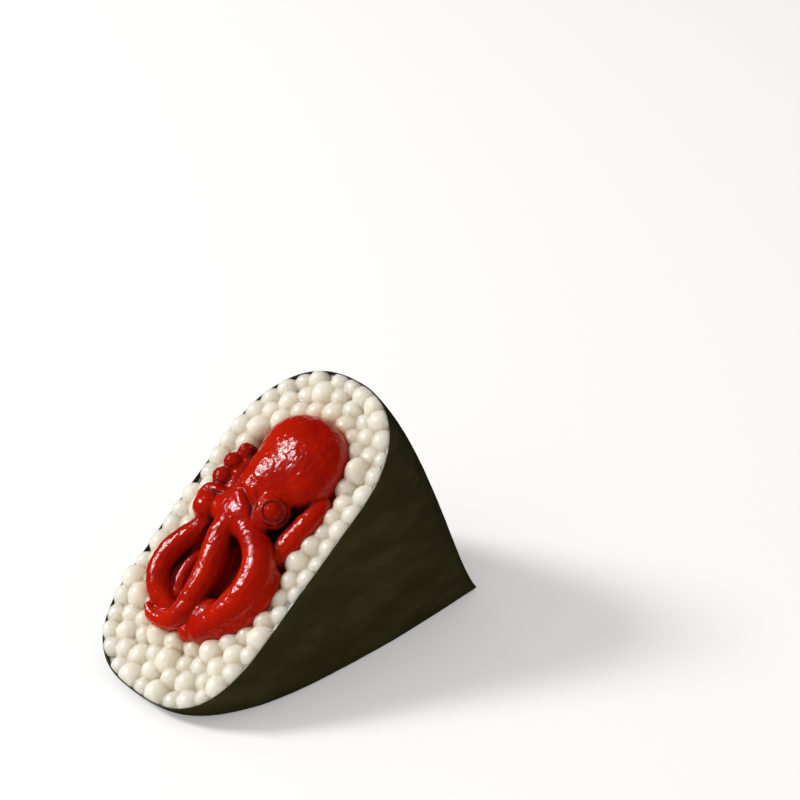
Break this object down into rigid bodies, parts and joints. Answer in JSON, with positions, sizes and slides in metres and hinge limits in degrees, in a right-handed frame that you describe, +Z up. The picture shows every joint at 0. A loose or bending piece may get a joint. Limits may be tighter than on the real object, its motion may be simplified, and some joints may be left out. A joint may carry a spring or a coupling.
{
  "type": "halved onigiri rice ball",
  "caption": "Cut half of a triangular rice ball lying cut side up as a ramp: nori skin, pearly rice and a glossy red octopus filling lying in the rice.",
  "frame": {"origin": "on the surface it lies on, under the middle of its bounding box", "axes": "+X from the low end of the cut face to the pressed edge, +Y across the thickness, +Z up"},
  "size_m": [0.0704, 0.0402, 0.0458],
  "materials": {
    "nori": "satin",
    "rice": "satin",
    "octopus": "gloss"
  },
  "bodies": {
    "root": {"nori_wrap": "nori", "rice_body": "rice", "octopus": "octopus"}
  },
  "joints": []
}
